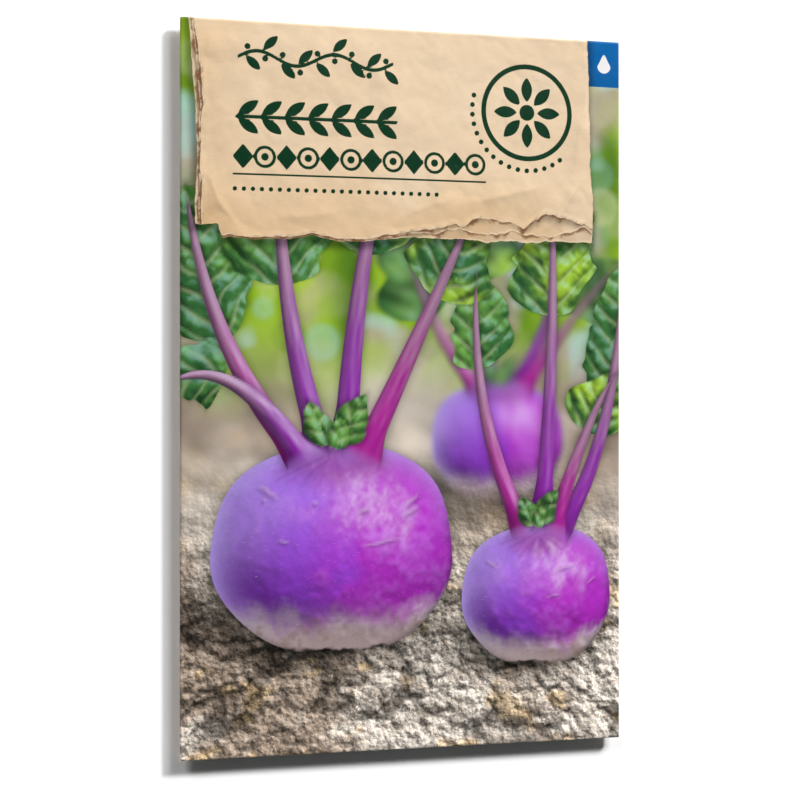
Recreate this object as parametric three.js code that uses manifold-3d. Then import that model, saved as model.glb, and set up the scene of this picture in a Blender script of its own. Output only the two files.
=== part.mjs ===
// A flat paper seed packet, lying on its back with its printed front up.
// Millimetres, +Z up. X runs across the packet and Y up its front.
// The origin is under the middle of the packet, on the surface that it lies on.

import * as THREE from "three";
import { mergeVertices } from "three/addons/utils/BufferGeometryUtils.js";
import Module from "manifold-3d";

// Outline of the folded packet
const packetWidth = 90;
const packetHeight = 141;
const halfWidth = packetWidth / 2;
const halfHeight = packetHeight / 2;
const paper = 0.35; // the real sheet is about 0.12 thick

// Heights above the surface that the packet lies on
const foldUnderside = 1.55; // lower face of the side folds
const foldTop = 2.6; // upper face of the front panel along its edges
const frontRise = 1.3; // further rise of the front panel in its middle
const lowerFullness = 0.18; // share by which the seed end of the front stands fuller

// The back sags to a flat spot, which the packet rests on
const flatHalfWidth = 26;
const flatHalfHeight = 40;

// Seam of the back: the right panel is glued over the left one
const seamEdge = -8; // free edge of the right panel, on the outside
const innerEdge = 4; // free edge of the left panel, inside the pocket
const seamEase = 7; // width in which the left panel bends in under the right one
const step = 0.01; // run of a paper edge, which is all but upright

// End flaps, folded over the back and glued
const bottomFlapDepth = 15;
const topFlapDepth = 18;
const flapSideGap = 2.5; // from the side fold to the flap, at the end fold
const flapTaper = 5; // further gap at the free edge
const flapCorner = 3; // rounding of the flap's free corners

// Small gaps at the corners, where the flaps leave the pocket's ends unglued
const cornerGapWidth = 1.5;
const cornerGapHeight = 0.28;
const cornerGapDepth = 2;

// Seeds
const seedCount = 96;
const seedDiameter = 2;
const seedPitch = 1.7; // from a seed to the one that it lies against
const seedGap = 0.05; // least gap to all the others
const seedClearance = 0.3; // from the paper below them
const driftCentre = { x: 3, y: -28 };
const driftRadii = { x: 24, y: 8.5 };

// Seeds' places are drawn with a linear congruential rule, from this start
const randomStart = 7;
const randomFactor = 1664525;
const randomAddend = 1013904223;

// Spacing of the facets of the domed faces
const columnPitch = 6.5;
const rowPitch = 8;
const edgeClearance = 0.25; // least gap from a facet line to a paper edge, in shares of the spacing
const roundDegrees = [0, 30, 60, 90]; // facet lines round a rim or a corner
const flapColumns = 16;
const flapRows = [0, 0.1, 0.35, 0.7, 3, 6, 9, 12, 15, 18]; // distances from the end fold

// Corners nearer than this are one corner
const mergeDistance = 1e-4;

const rimRadius = (foldTop - foldUnderside) / 2;
const rimHeight = (foldTop + foldUnderside) / 2;

const wasm = await Module();
wasm.setup();

function smooth(value) {
  const t = THREE.MathUtils.clamp(value, 0, 1);
  return t * t * (3 - 2 * t);
}

// Quarter circle: 0 at the edge, 1 at one radius from it.
function rounding(distance, radius) {
  const inward = 1 - THREE.MathUtils.clamp(distance / radius, 0, 1);
  return Math.sqrt(1 - inward * inward);
}

// Upper face of the front panel: a low dome, fuller towards the seeds.
function frontFace(x, y) {
  const u = x / halfWidth;
  const v = y / halfHeight;
  return foldTop + frontRise * (1 - u * u) * (1 - v ** 4) * (1 - lowerFullness * v);
}

// Lower face of the back: level with the folds at the edges, flat and at zero in the middle.
function backFace(x, y) {
  const across = smooth((halfWidth - Math.abs(x)) / (halfWidth - flatHalfWidth));
  const along = smooth((halfHeight - Math.abs(y)) / (halfHeight - flatHalfHeight));
  return foldUnderside * (1 - across * along);
}

// The left panel bends inwards by one sheet before it runs under the right panel.
function leftPanelLift(x) {
  return paper * smooth((x - seamEdge + seamEase) / seamEase);
}

function toSolid(geometry) {
  const bare = new THREE.BufferGeometry();
  bare.setAttribute("position", geometry.getAttribute("position"));
  bare.setIndex(geometry.getIndex());
  const merged = mergeVertices(bare, mergeDistance);
  const corners = merged.getIndex().array;
  const kept = [];
  for (let i = 0; i < corners.length; i += 3) {
    const [a, b, c] = corners.slice(i, i + 3);
    if (a !== b && b !== c && c !== a) kept.push(a, b, c);
  }
  return new wasm.Manifold(
    new wasm.Mesh({
      numProp: 3,
      vertProperties: merged.getAttribute("position").array,
      triVerts: new Uint32Array(kept),
    }),
  );
}

function toMesh(solid, name, material) {
  const { vertProperties, triVerts } = solid.getMesh();
  const geometry = new THREE.BufferGeometry();
  geometry.setAttribute("position", new THREE.BufferAttribute(vertProperties, 3));
  geometry.setIndex(new THREE.BufferAttribute(triVerts, 1));
  geometry.computeVertexNormals();
  const mesh = new THREE.Mesh(geometry, material);
  mesh.name = name;
  return mesh;
}

// A closed solid over a grid of columns and rows. pointAt(column, row) gives
// { x, y, low, high }: a point of the outline and the heights of the faces there.
function gridSolid(columns, rows, pointAt) {
  const positions = [];
  for (const side of ["low", "high"]) {
    for (const row of rows) {
      for (const column of columns) {
        const point = pointAt(column, row);
        positions.push(point.x, point.y, point[side]);
      }
    }
  }
  const across = columns.length;
  const layer = across * rows.length;
  const index = [];
  const quad = (a, b, c, d) => index.push(a, b, c, a, c, d);
  for (let r = 0; r + 1 < rows.length; r += 1) {
    for (let c = 0; c + 1 < across; c += 1) {
      const at = r * across + c;
      quad(at, at + across, at + across + 1, at + 1);
      quad(layer + at, layer + at + 1, layer + at + across + 1, layer + at + across);
    }
  }
  for (let c = 0; c + 1 < across; c += 1) {
    const last = (rows.length - 1) * across + c;
    quad(c, c + 1, layer + c + 1, layer + c);
    quad(last + 1, last, layer + last, layer + last + 1);
  }
  for (let r = 0; r + 1 < rows.length; r += 1) {
    const left = r * across;
    const right = left + across - 1;
    quad(left + across, left, layer + left, layer + left + across);
    quad(right, right + across, layer + right + across, layer + right);
  }
  const geometry = new THREE.BufferGeometry();
  geometry.setAttribute("position", new THREE.Float32BufferAttribute(positions, 3));
  geometry.setIndex(index);
  return toSolid(geometry);
}

// Facet lines from -half to half: close together on the rounded rims, then about
// `pitch` apart, with the extra ones that a paper edge needs.
function stations(half, radius, pitch, extra = []) {
  const rim = roundDegrees.map((degrees) => {
    return half - radius * (1 - Math.cos(THREE.MathUtils.degToRad(degrees)));
  });
  const inner = rim[rim.length - 1];
  const count = Math.ceil((2 * inner) / pitch);
  const even = Array.from({ length: count - 1 }, (_, i) => inner * ((2 * (i + 1)) / count - 1));
  const clearance = pitch * edgeClearance;
  const free = even.filter((value) => extra.every((edge) => Math.abs(value - edge) > clearance));
  const all = [...rim.map((value) => -value), ...free, ...extra, ...rim];
  return all.sort((a, b) => a - b);
}

// The outside of the flat pocket, without its flaps.
function outerPillow() {
  const columns = stations(halfWidth, rimRadius, columnPitch, [seamEdge - step, seamEdge]);
  const rows = stations(halfHeight, rimRadius, rowPitch);
  return gridSolid(columns, rows, (x, y) => {
    const roundAcross = rounding(halfWidth - Math.abs(x), rimRadius);
    const round = roundAcross * rounding(halfHeight - Math.abs(y), rimRadius);
    const lower = backFace(x, y) + (x < seamEdge ? leftPanelLift(x) : 0);
    return {
      x,
      y,
      low: rimHeight - (rimHeight - lower) * round,
      high: rimHeight + (frontFace(x, y) - rimHeight) * round,
    };
  });
}

// The space inside the paper, where the seeds are.
function pocket() {
  const inHalfWidth = halfWidth - paper;
  const inHalfHeight = halfHeight - paper;
  const inRadius = rimRadius - paper;
  const columns = stations(inHalfWidth, inRadius, columnPitch, [innerEdge - step, innerEdge]);
  const rows = stations(inHalfHeight, inRadius, rowPitch);
  return gridSolid(columns, rows, (x, y) => {
    const roundAcross = rounding(inHalfWidth - Math.abs(x), inRadius);
    const round = roundAcross * rounding(inHalfHeight - Math.abs(y), inRadius);
    const lower = backFace(x, y) + paper + (x < innerEdge ? leftPanelLift(x) : 0);
    const upper = Math.max(frontFace(x, y) - paper, rimHeight);
    return {
      x,
      y,
      low: rimHeight - (rimHeight - Math.min(lower, rimHeight)) * round,
      high: rimHeight + (upper - rimHeight) * round,
    };
  });
}

// A flap: folded round the end of the front panel, and glued to the back. It reaches up
// into the pillow, whose pocket is cut afterwards, so that no air is left under the glue.
// end is 1 for the top of the packet and -1 for its bottom.
function flap(end, depth) {
  const foldRadius = (foldTop - foldUnderside + paper) / 2;
  const foldHeight = (foldTop + foldUnderside - paper) / 2;
  const shares = Array.from({ length: flapColumns + 1 }, (_, i) => (2 * i) / flapColumns - 1);
  const distances = flapRows.filter((value) => value < depth - flapCorner);
  for (const degrees of roundDegrees) {
    distances.push(depth - flapCorner * (1 - Math.sin(THREE.MathUtils.degToRad(degrees))));
  }
  const rows = end < 0 ? distances : distances.map((value) => -value).reverse();
  return gridSolid(shares, rows, (share, row) => {
    const distance = Math.abs(row);
    const corner = flapCorner * (1 - rounding(depth - distance, flapCorner));
    const half = halfWidth - flapSideGap - flapTaper * (distance / depth) - corner;
    const x = share * half;
    const y = end * (halfHeight - distance);
    const lower = backFace(x, y) - paper;
    return {
      x,
      y,
      low: foldHeight - (foldHeight - lower) * rounding(distance, foldRadius),
      high: rimHeight,
    };
  });
}

function cornerGaps() {
  const centreX = halfWidth - paper - cornerGapWidth / 2;
  const gaps = [];
  for (const sideX of [-1, 1]) {
    for (const sideY of [-1, 1]) {
      const gap = new THREE.BoxGeometry(cornerGapWidth, cornerGapDepth, cornerGapHeight);
      gap.translate(sideX * centreX, sideY * halfHeight, rimHeight);
      gaps.push(toSolid(gap));
    }
  }
  return gaps;
}

function makeEnvelope() {
  let sheet = outerPillow();
  sheet = sheet.add(flap(-1, bottomFlapDepth));
  sheet = sheet.add(flap(1, topFlapDepth));
  sheet = sheet.subtract(pocket());
  for (const gap of cornerGaps()) {
    sheet = sheet.subtract(gap);
  }
  return sheet;
}

// Repeatable random numbers from 0 to 1.
function randomSource(start) {
  let state = start;
  return () => {
    state = (Math.imul(state, randomFactor) + randomAddend) >>> 0;
    return state / 2 ** 32;
  };
}

// One faceted seed, turned so that a corner of it points along `direction`.
function seedSolid(place, direction) {
  const seed = new THREE.IcosahedronGeometry(seedDiameter / 2, 0);
  const corner = new THREE.Vector3().fromBufferAttribute(seed.getAttribute("position"), 0).normalize();
  seed.applyQuaternion(new THREE.Quaternion().setFromUnitVectors(corner, direction));
  seed.translate(place.x, place.y, 2 * paper + seedClearance + seedDiameter / 2);
  return toSolid(seed);
}

// Round seeds that have drifted together in one layer. Each lies against an earlier
// seed, with a corner let into it, and is clear of all the others.
function makeSeeds() {
  const random = randomSource(randomStart);
  const places = [new THREE.Vector2(driftCentre.x, driftCentre.y)];
  const solids = [seedSolid(places[0], new THREE.Vector3(1, 0, 0))];
  while (places.length < seedCount) {
    const neighbour = places[Math.floor(random() * places.length)];
    const angle = random() * 2 * Math.PI;
    const direction = new THREE.Vector2(Math.cos(angle), Math.sin(angle));
    const place = neighbour.clone().addScaledVector(direction, seedPitch);
    const acrossDrift = (place.x - driftCentre.x) / driftRadii.x;
    const alongDrift = (place.y - driftCentre.y) / driftRadii.y;
    const inDrift = Math.hypot(acrossDrift, alongDrift) < 1;
    const clear = places.every((other) => {
      return other === neighbour || other.distanceTo(place) > seedDiameter + seedGap;
    });
    if (inDrift && clear) {
      places.push(place);
      solids.push(seedSolid(place, new THREE.Vector3(-direction.x, -direction.y, 0)));
    }
  }
  return solids.reduce((drift, seed) => drift.add(seed));
}

const printedPaper = new THREE.MeshStandardMaterial({ color: 0xc9a98c, roughness: 0.55, metalness: 0 });
const seedCoat = new THREE.MeshStandardMaterial({ color: 0x3a2a20, roughness: 0.6, metalness: 0 });

const packet = new THREE.Group();
packet.add(toMesh(makeEnvelope(), "envelope", printedPaper));
packet.add(toMesh(makeSeeds(), "seeds", seedCoat));

export default packet;
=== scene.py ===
# A paper seed packet that lies on its back, with its printed front up.
# Lengths are drawn in millimetres and become metres when a mesh is made.
import math
import bpy
import numpy as np
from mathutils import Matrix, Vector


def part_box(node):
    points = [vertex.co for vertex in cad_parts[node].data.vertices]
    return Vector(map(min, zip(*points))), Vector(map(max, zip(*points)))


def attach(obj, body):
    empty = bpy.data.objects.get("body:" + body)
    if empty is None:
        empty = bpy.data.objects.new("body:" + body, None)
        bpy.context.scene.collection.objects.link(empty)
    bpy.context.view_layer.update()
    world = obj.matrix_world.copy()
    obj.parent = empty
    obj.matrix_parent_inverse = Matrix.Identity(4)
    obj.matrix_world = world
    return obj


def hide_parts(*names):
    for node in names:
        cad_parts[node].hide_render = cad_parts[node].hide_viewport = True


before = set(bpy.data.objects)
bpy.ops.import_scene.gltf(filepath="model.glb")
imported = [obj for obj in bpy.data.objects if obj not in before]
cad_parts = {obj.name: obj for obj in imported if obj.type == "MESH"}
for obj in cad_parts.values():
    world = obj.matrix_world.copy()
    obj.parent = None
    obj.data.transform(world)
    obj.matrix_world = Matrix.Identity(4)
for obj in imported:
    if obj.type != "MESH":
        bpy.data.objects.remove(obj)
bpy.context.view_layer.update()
envelopeLow, envelopeHigh = (np.array(corner) * 1000 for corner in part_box("envelope"))

# the folded packet, as the frame gives it, and the heights of its faces over the floor
packet = {
    "halfWidth": (envelopeHigh[0] - envelopeLow[0]) / 2,
    "halfHeight": (envelopeHigh[1] - envelopeLow[1]) / 2,
    "sheet": 0.12,
    "foldUnderside": 1.55,
    "foldTop": 2.6,
    "frontRise": 1.3,
    "lowerFullness": 0.18,
    "foldRadius": 0.22,
    "flatHalfWidth": 26,
    "flatHalfHeight": 40,
}
packet["foldHeight"] = (packet["foldTop"] + packet["foldUnderside"]) / 2
halfWidth, halfHeight = packet["halfWidth"], packet["halfHeight"]

studioLight = 1.37  # how bright the studio light makes white paper that lies flat
nowhere = -9.0  # the distance inside a shape, for a place that is far from it


def ease(value, low, high):
    # 0 below low, 1 above high, and a smooth S between them
    t = np.clip((value - low) / (high - low), 0, 1)
    return t * t * (3 - 2 * t)


def quarterRound(distance, radius):
    # a quarter circle: 0 at the edge, 1 at one radius from it
    return np.sqrt(1 - (1 - np.clip(distance / radius, 0, 1)) ** 2)


def mixed(first, second, share):
    return first + (second - first) * np.asarray(share)[..., None]


def ink(red, green, blue):
    # a printed colour as it looks in the studio light, from 0-255 to linear reflectance
    value = np.array([red, green, blue]) / 255
    linear = np.where(value > 0.04045, ((value + 0.055) / 1.055) ** 2.4, value / 12.92)
    return linear / studioLight


def latticeNoise(x, y, size, seed):
    # random heights on a square lattice, eased between its corners
    table = np.random.default_rng(seed).random((64, 64))
    column, row = np.floor(x / size).astype(int), np.floor(y / size).astype(int)
    u, v = x / size - column, y / size - row
    u, v = u * u * (3 - 2 * u), v * v * (3 - 2 * v)
    left, right, low, high = column % 64, (column + 1) % 64, row % 64, (row + 1) % 64
    below = table[left, low] * (1 - u) + table[right, low] * u
    above = table[left, high] * (1 - u) + table[right, high] * u
    return below * (1 - v) + above * v


def layeredNoise(x, y, size, seed, octaves=4):
    # each finer lattice has half the size and half the weight; the sum runs from 0 to 1
    total = 0
    for octave in range(octaves):
        total = total + latticeNoise(x, y, size / 2**octave, seed + octave) / 2**octave
    return total / (2 - 2 / 2**octaves)


def crumbField(x, y, size, seed):
    # a random point in each square of a lattice carries a round crumb of its own size and level;
    # the highest of the crumbs over a place is the height there
    spotX, spotY, radius, level = np.random.default_rng(seed).random((4, 64, 64))
    column, row = np.floor(x / size).astype(int), np.floor(y / size).astype(int)
    height = np.zeros(np.shape(x))
    for i in (-1, 0, 1):
        for j in (-1, 0, 1):
            a, b = (column + i) % 64, (row + j) % 64
            awayX = x / size - (column + i) - spotX[a, b]
            awayY = y / size - (row + j) - spotY[a, b]
            reach = 0.35 + 0.5 * radius[a, b]
            dome = np.sqrt(np.maximum(reach**2 - awayX**2 - awayY**2, 0))
            height = np.maximum(height, np.where(dome > 0, dome + 0.35 * level[a, b], 0))
    return height * size


# Surfaces of the folded paper


def frontHeight(x, y):
    # a low dome, fuller towards the seeds, with slight waves; a quarter circle brings it down to
    # the side folds and to the end folds
    u, v = x / halfWidth, y / halfHeight
    dome = (1 - u**2) * (1 - v**4)
    top = packet["foldTop"] + packet["frontRise"] * dome * (1 - packet["lowerFullness"] * v)
    top = top + 0.16 * dome * (layeredNoise(x, y, 26, 4, 2) - 0.5)
    inward = np.minimum(halfWidth - np.abs(x), halfHeight - np.abs(y))
    return top - (top - packet["foldHeight"]) * (1 - quarterRound(inward, packet["foldRadius"]))


def backHeight(x, y):
    # level with the folds along the edges, and sagging by an S-curve to a flat spot on the floor
    across = ease(halfWidth - np.abs(x), 0, halfWidth - packet["flatHalfWidth"])
    along = ease(halfHeight - np.abs(y), 0, halfHeight - packet["flatHalfHeight"])
    return packet["foldUnderside"] * (1 - across * along)


def stations(low, high, pitch, lowRadius=0.0, highRadius=0.0):
    # even steps, closer together where a fold of the given radius starts or ends the run
    turn = 1 - np.cos(np.radians([0, 22.5, 45, 67.5]))
    first, last = low + lowRadius, high - highRadius
    even = np.linspace(first, last, int(math.ceil((last - first) / pitch)) + 1)
    before = low + lowRadius * turn if lowRadius else []
    after = (high - highRadius * turn)[::-1] if highRadius else []
    return np.concatenate([before, even, after])


def trimmed(values, stride):
    # drops inner stations near the middle until the steps divide by the stride, and spreads the
    # ones round them evenly
    middle = len(values) // 2
    extra = (len(values) - 1) % stride
    kept = np.delete(values, range(middle, middle + extra)) if extra else values
    first, last = middle - 12, middle + 12
    kept[first : last + 1] = np.linspace(kept[first], kept[last], last - first + 1)
    return kept


def gridNormals(points):
    # across the two directions of the grid
    down, right = np.gradient(points, axis=(0, 1))
    normal = np.cross(right, down)
    return normal / np.linalg.norm(normal, axis=-1, keepdims=True)


def paperSheet(name, points, outward, stride=1):
    # a sheet of real thickness: the given grid of points is its outer face, and its inner face lies
    # one sheet further in, on every stride-th row and column; narrow faces close the cut edges
    rows, columns = points.shape[:2]
    normal = gridNormals(points)
    if normal[rows // 2, columns // 2, 2] * outward < 0:
        normal = -normal
    inner = (points - normal * packet["sheet"])[::stride, ::stride]
    flip = outward < 0
    corners, faces, smooth = [points.reshape(-1, 3), inner.reshape(-1, 3)], [], []
    outerCount, innerCount = rows * columns, inner.shape[0] * inner.shape[1]
    outerIndex = np.arange(outerCount).reshape(rows, columns)
    innerIndex = outerCount + np.arange(innerCount).reshape(inner.shape[:2])
    for index, turned in ((outerIndex, flip), (innerIndex, not flip)):
        quads = np.stack([index[:-1, :-1], index[:-1, 1:], index[1:, 1:], index[1:, :-1]], -1).reshape(-1, 4)
        quads = quads[:, ::-1] if turned else quads
        faces += quads.tolist()
        smooth += [True] * len(quads)
    borders = [
        (outerIndex[0], innerIndex[0]),
        (outerIndex[:, -1], innerIndex[:, -1]),
        (outerIndex[-1][::-1], innerIndex[-1][::-1]),
        (outerIndex[::-1, 0], innerIndex[::-1, 0]),
    ]
    for outerLine, innerLine in borders:
        for i in range(len(innerLine) - 1):
            run = [*outerLine[i * stride : (i + 1) * stride + 1][::-1], innerLine[i], innerLine[i + 1]]
            faces.append([int(corner) for corner in (run[::-1] if flip else run)])
            smooth.append(False)
    mesh = bpy.data.meshes.new(name)
    mesh.from_pydata(np.concatenate(corners) / 1000, [], faces)
    mesh.polygons.foreach_set("use_smooth", smooth)
    giveValues(mesh, "printed", np.concatenate([np.ones(outerCount), np.zeros(innerCount)]))
    piece = bpy.data.objects.new(name, mesh)
    bpy.context.collection.objects.link(piece)
    return piece


def giveValues(mesh, name, values):
    # one number, or a colour with a fourth number, for each vertex
    kind, key = ("FLOAT", "value") if values.ndim == 1 else ("FLOAT_COLOR", "color")
    attribute = mesh.attributes.new(name, kind, "POINT")
    attribute.data.foreach_set(key, np.ascontiguousarray(values, dtype=np.float32).ravel())


def givePrint(piece, name, values, stride):
    # printed values of the outer face, and the same ones behind it on the inner face
    tail = values.shape[2:]
    outer, inner = values.reshape((-1,) + tail), values[::stride, ::stride].reshape((-1,) + tail)
    giveValues(piece.data, name, np.concatenate([outer, inner]))


def onPacket(piece):
    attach(piece, "root")
    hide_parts("envelope")
    return piece


# The picture on the front, painted with numbers: each function takes the places x and y on the print
# and gives a colour there. Light in it comes from the upper right.


def slopeOf(height, x, y):
    # the rise of a height over the print, towards the right and towards the top
    up, right = np.gradient(height, y[:, 0], x[0])
    return right, up


def lightOn(right, up, out=1.0):
    # a key light from the upper right, a weak one from the left, and what the sky gives, on a
    # surface that faces (right, up, out)
    size = np.sqrt(right**2 + up**2 + out**2)
    key = np.clip((0.46 * right + 0.56 * up + 0.69 * out) / size, 0, 1)
    fill = np.clip((-0.80 * right + 0.25 * up + 0.55 * out) / size, 0, 1)
    return 0.16 + 1.05 * key + 0.22 * fill


def softened(values, x, reach):
    # out of focus: each point takes a share of its neighbours' values, again and again
    middle = x.shape[1] // 2
    step = x[0, middle + 1] - x[0, middle]
    for turn in range(int(round(2 * (reach / step) ** 2))):
        for axis in (0, 1):
            padded = np.concatenate([values.take([0], axis), values, values.take([-1], axis)], axis)
            count = values.shape[axis]
            before, after = padded.take(range(count), axis), padded.take(range(2, count + 2), axis)
            values = 0.25 * before + 0.5 * values + 0.25 * after
    return values


garden = {
    "horizon": 50.0,
    "soilDark": ink(184, 164, 146),
    "soilPale": ink(250, 238, 224),
    "straw": ink(250, 214, 158),
    "hedgeDark": ink(74, 120, 30),
    "hedgeBright": ink(164, 204, 46),
    "hedgeBrown": ink(192, 174, 158),
    "haze": ink(186, 230, 224),
    "discs": 120,
    "discTones": [
        ink(206, 222, 96),
        ink(140, 186, 44),
        ink(232, 236, 190),
        ink(166, 222, 220),
        ink(108, 150, 52),
        ink(206, 190, 176),
    ],
}


def onGround(x, y):
    # where a point of the picture lies on the bed, seen in perspective
    away = np.maximum(garden["horizon"] - y, 6)
    return x * 105 / away, 14000 / away


def soilColour(x, y):
    # clods, crumbs and grit heaped on each other and lit from the side, sharp only near the viewer
    across, away = onGround(x, y)
    bendX = 5 * (layeredNoise(across, away, 6, 15) - 0.5)
    bendY = 5 * (layeredNoise(across, away, 6, 25) - 0.5)
    across, away = across + bendX, away + bendY
    rough = layeredNoise(across, away, 3, 33, 4)
    height = 0.62 * crumbField(across, away, 9, 3) + 0.60 * crumbField(across, away, 4.2, 5)
    height = height + 0.55 * crumbField(across, away, 2.0, 7) + 1.5 * rough
    right, up = slopeOf(height, x, y)
    shade = lightOn(-0.75 * right, -0.75 * up) * (0.34 + 0.76 * ease(height, 1.4, 4.8))
    patch = layeredNoise(x, y, 26, 31, 3)
    colour = mixed(garden["soilDark"], garden["soilPale"], ease(patch + 0.5 * (rough - 0.5), 0.3, 0.75))
    straw = ease(layeredNoise(across, away, 5, 44, 3), 0.62, 0.74)
    crisp = mixed(colour, garden["straw"], 0.6 * straw) * shade[..., None]
    blurred = softened(crisp, x, 1.3)
    colour = mixed(blurred, crisp, ease(y, -24, -52))
    return mixed(softened(blurred, x, 1.5), colour, ease(y, 8, -24))


def hedgeColour(x, y):
    bend = 8 * (layeredNoise(x, y, 12, 61, 2) - 0.5)
    tone = layeredNoise(x + bend, y * 0.7, 13, 50, 3)
    colour = mixed(garden["hedgeDark"], garden["hedgeBright"], ease(tone, 0.22, 0.78))
    brown = ease(layeredNoise(x - bend, y, 15, 57, 3), 0.47, 0.64)
    colour = mixed(colour, garden["hedgeBrown"], 0.75 * brown)
    return mixed(colour, garden["haze"], 0.7 * ease(layeredNoise(x, y, 9, 58, 2), 0.58, 0.80))


def addDiscs(colour, x, y):
    # leaves and lights far out of focus: soft round discs, laid over one another
    draw = np.random.default_rng(12)
    for number in range(garden["discs"]):
        centreX, centreY = draw.uniform(-50, 50), draw.uniform(-4, 72)
        radius = draw.uniform(1.2, 4.2)
        tone = garden["discTones"][draw.integers(len(garden["discTones"]))]
        strength = draw.uniform(0.08, 0.34) * ease(centreY, -6, 10)
        away = np.hypot(x - centreX, y - centreY)
        disc = ease(away, radius + 0.9, radius - 0.9) * (0.75 + 0.25 * ease(away, 0, radius))
        colour = mixed(colour, tone, strength * disc)
    return colour


def gardenBed(x, y):
    edge = y + 16 * (layeredNoise(x, y, 14, 70, 3) - 0.5)
    colour = mixed(soilColour(x, y), hedgeColour(x, y), ease(edge, -6, 16))
    return addDiscs(colour, x, y)


def bend(start, pull, end, count=70):
    # a curve from start to end, drawn towards pull on its way
    t = np.linspace(0, 1, count)[:, None]
    return (1 - t) ** 2 * start + 2 * t * (1 - t) * pull + t**2 * end


def alongPath(x, y, path):
    # the nearest place on a path: share of its length, the distance, positive on its left, and
    # which way left is there
    starts, run = path[:-1], path[1:] - path[:-1]
    length = np.hypot(run[:, 0], run[:, 1])
    before = np.cumsum(length) - length
    ahead = np.gradient(path, axis=0)
    ahead = ahead / np.hypot(ahead[:, 0], ahead[:, 1])[:, None]
    nearest = np.full(x.shape, 1e9)
    share, side, leftX, leftY = np.zeros((4,) + x.shape)
    for i in range(len(run)):
        dirX, dirY = run[i] / length[i]
        offX, offY = x - starts[i, 0], y - starts[i, 1]
        t = np.clip(offX * dirX + offY * dirY, 0, length[i])
        away = np.hypot(offX - t * dirX, offY - t * dirY)
        nearer = away < nearest
        nearest = np.where(nearer, away, nearest)
        share = np.where(nearer, (before[i] + t) / length.sum(), share)
        side = np.where(nearer, np.sign(dirX * offY - dirY * offX) * away, side)
        passed = t / length[i]
        leftX = np.where(nearer, -ahead[i, 1] - passed * (ahead[i + 1, 1] - ahead[i, 1]), leftX)
        leftY = np.where(nearer, ahead[i, 0] + passed * (ahead[i + 1, 0] - ahead[i, 0]), leftY)
    return share, side, leftX, leftY


def windowOf(x, y, path, margin):
    # the rows and columns of the print that a path passes, with a margin round them
    low, high = path.min(axis=0) - margin, path.max(axis=0) + margin
    columns = slice(*np.searchsorted(x[0], (low[0], high[0])))
    return slice(*np.searchsorted(y[:, 0], (low[1], high[1]))), columns


def newLayer(x):
    # a layer of the print: its colour, how far each place is inside its shapes, and the shade that
    # they throw round them
    return {"edge": np.full(x.shape, nowhere), "colour": np.zeros(x.shape + (3,)), "shade": np.zeros(x.shape)}


def lay(layer, edge, colour, window=np.s_[:, :], weight=1.0):
    # the shape darkens what it lies on near its edge, covers it, and its colour runs on past its edge
    # where the layer is empty
    cast = weight * (0.62 * ease(edge, -1.8, 0.2) + 0.38 * ease(edge, -0.55, 0.05))
    under = layer["colour"][window] * (1 - 0.5 * cast)[..., None]
    beyond = (edge > layer["edge"][window]) & (layer["edge"][window] < 0)
    layer["colour"][window] = mixed(under, colour, np.maximum(ease(edge, -0.3, 0.3), beyond))
    layer["edge"][window] = np.maximum(layer["edge"][window], edge)
    layer["shade"][window] = np.maximum(layer["shade"][window], cast)


stalk = {
    "foot": ink(150, 46, 176),
    "rosyFoot": ink(184, 40, 160),
    "tip": ink(170, 128, 158),
    "sheen": ink(236, 214, 252),
}


def layStalk(layer, x, y, path, thickness, foot, skinColour):
    # a round stem that rises out of the skin, thins all the way to the tip of its leaf and has fine
    # streaks along it
    window = windowOf(x, y, path, 5)
    x, y = x[window], y[window]
    share, side, leftX, leftY = alongPath(x, y, path)
    length = np.hypot(*(path[-1] - path[0]))
    half = thickness * (0.12 + 1.08 * np.maximum(1 - share, 0) ** 0.9 + 0.8 * ease(share, 0.16, 0.0))
    half = half * ease(share, 1.02, 0.84) + 0.05
    across = np.clip(side / half, -0.98, 0.98)
    tilt = across + 0.35 * np.sin(2.6 * across)
    light = lightOn(leftX * tilt, leftY * tilt, np.sqrt(1 - across**2) + 0.25)
    streak = layeredNoise(side, share * 9, 0.75, 80, 1)
    colour = mixed(foot, stalk["tip"], ease(share + 0.3 * (streak - 0.5), 0.10, 0.75))
    colour = colour * (light * (0.84 + 0.24 * streak))[..., None]
    sheen = ease(light, 0.95, 1.35) * (0.4 + 0.6 * streak)
    colour = mixed(colour, stalk["sheen"], 0.6 * sheen)
    risen = ease(share * length, 0.3, 3.6)
    colour = mixed(skinColour[window], colour, risen)
    lay(layer, half - np.abs(side), colour, window, risen)


leaf = {
    "dark": ink(56, 112, 58),
    "middle": ink(116, 172, 76),
    "fresh": ink(170, 210, 60),
    "bloom": ink(172, 218, 220),
    "vein": ink(198, 214, 160),
}


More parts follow.
